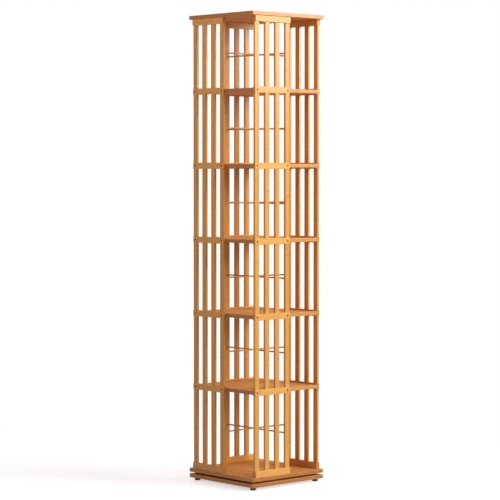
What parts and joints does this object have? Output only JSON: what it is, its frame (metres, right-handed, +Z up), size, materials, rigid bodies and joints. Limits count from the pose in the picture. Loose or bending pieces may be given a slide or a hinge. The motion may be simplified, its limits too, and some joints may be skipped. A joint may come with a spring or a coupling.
{
  "type": "rotating bookshelf",
  "caption": "Tall square bamboo bookshelf with open tiers between slatted side panels, turning on a ball-bearing turntable in its footed base.",
  "frame": {"origin": "on the floor under the centre of the turntable", "axes": "+Z up along the turning axis; the front side looks along -Y and the left side along -X"},
  "size_m": [0.39, 0.39, 1.895],
  "materials": {
    "bamboo_board": "clear satin lacquer over carbonised bamboo",
    "bamboo_shelf": "clear satin lacquer over carbonised bamboo",
    "bamboo_rail": "clear satin lacquer over carbonised bamboo",
    "bamboo_slat": "clear satin lacquer over carbonised bamboo",
    "bamboo_rod": "turned bamboo, oiled",
    "rubber": "moulded, matt",
    "aluminium": "turned",
    "ball_steel": "polished bearing steel",
    "nylon": "moulded",
    "zinc_screw": "zinc plated",
    "black_screw": "black-brown oxide"
  },
  "bodies": {
    "base": {"base_board": "bamboo_board", "foot_front_left": "rubber", "foot_front_right": "rubber", "foot_back_right": "rubber", "foot_back_left": "rubber", "foot_screws": "zinc_screw", "outer_ring": "aluminium", "outer_ring_screws": "zinc_screw"},
    "ball_race": {"ball_cage": "nylon", "balls": "ball_steel"},
    "carcass": {"inner_ring": "aluminium", "inner_ring_screws": "zinc_screw", "bottom_board": "bamboo_board", "shelf_1": "bamboo_shelf", "shelf_2": "bamboo_shelf", "shelf_3": "bamboo_shelf", "shelf_4": "bamboo_shelf", "shelf_5": "bamboo_shelf", "top_board": "bamboo_board", "front_rail_1": "bamboo_rail", "front_rail_2": "bamboo_rail", "front_rail_3": "bamboo_rail", "front_rail_4": "bamboo_rail", "front_rail_5": "bamboo_rail", "front_rail_6": "bamboo_rail", "front_rail_7": "bamboo_rail", "right_rail_1": "bamboo_rail", "right_rail_2": "bamboo_rail", "right_rail_3": "bamboo_rail", "right_rail_4": "bamboo_rail", "right_rail_5": "bamboo_rail", "right_rail_6": "bamboo_rail", "right_rail_7": "bamboo_rail", "back_rail_1": "bamboo_rail", "back_rail_2": "bamboo_rail", "back_rail_3": "bamboo_rail", "back_rail_4": "bamboo_rail", "back_rail_5": "bamboo_rail", "back_rail_6": "bamboo_rail", "back_rail_7": "bamboo_rail", "left_rail_1": "bamboo_rail", "left_rail_2": "bamboo_rail", "left_rail_3": "bamboo_rail", "left_rail_4": "bamboo_rail", "left_rail_5": "bamboo_rail", "left_rail_6": "bamboo_rail", "left_rail_7": "bamboo_rail", "front_slats": "bamboo_slat", "right_slats": "bamboo_slat", "back_slats": "bamboo_slat", "left_slats": "bamboo_slat", "left_to_right_rods": "bamboo_rod", "front_to_back_rods": "bamboo_rod", "bottom_board_screws": "black_screw", "shelf_screws": "black_screw", "top_board_screws": "black_screw"}
  },
  "joints": [
    {"name": "carcass_spin", "type": "hinge", "parent": "base", "child": "carcass", "pos_m": [0, 0, 0.031], "axis": [0, 0, 1], "continuous": true},
    {"name": "cage_spin", "type": "hinge", "parent": "base", "child": "ball_race", "pos_m": [0, 0, 0.031], "axis": [0, 0, 1], "continuous": true}
  ],
  "couplings": [
    {"joint": "cage_spin", "follows": "carcass_spin", "ratio": 0.5}
  ]
}
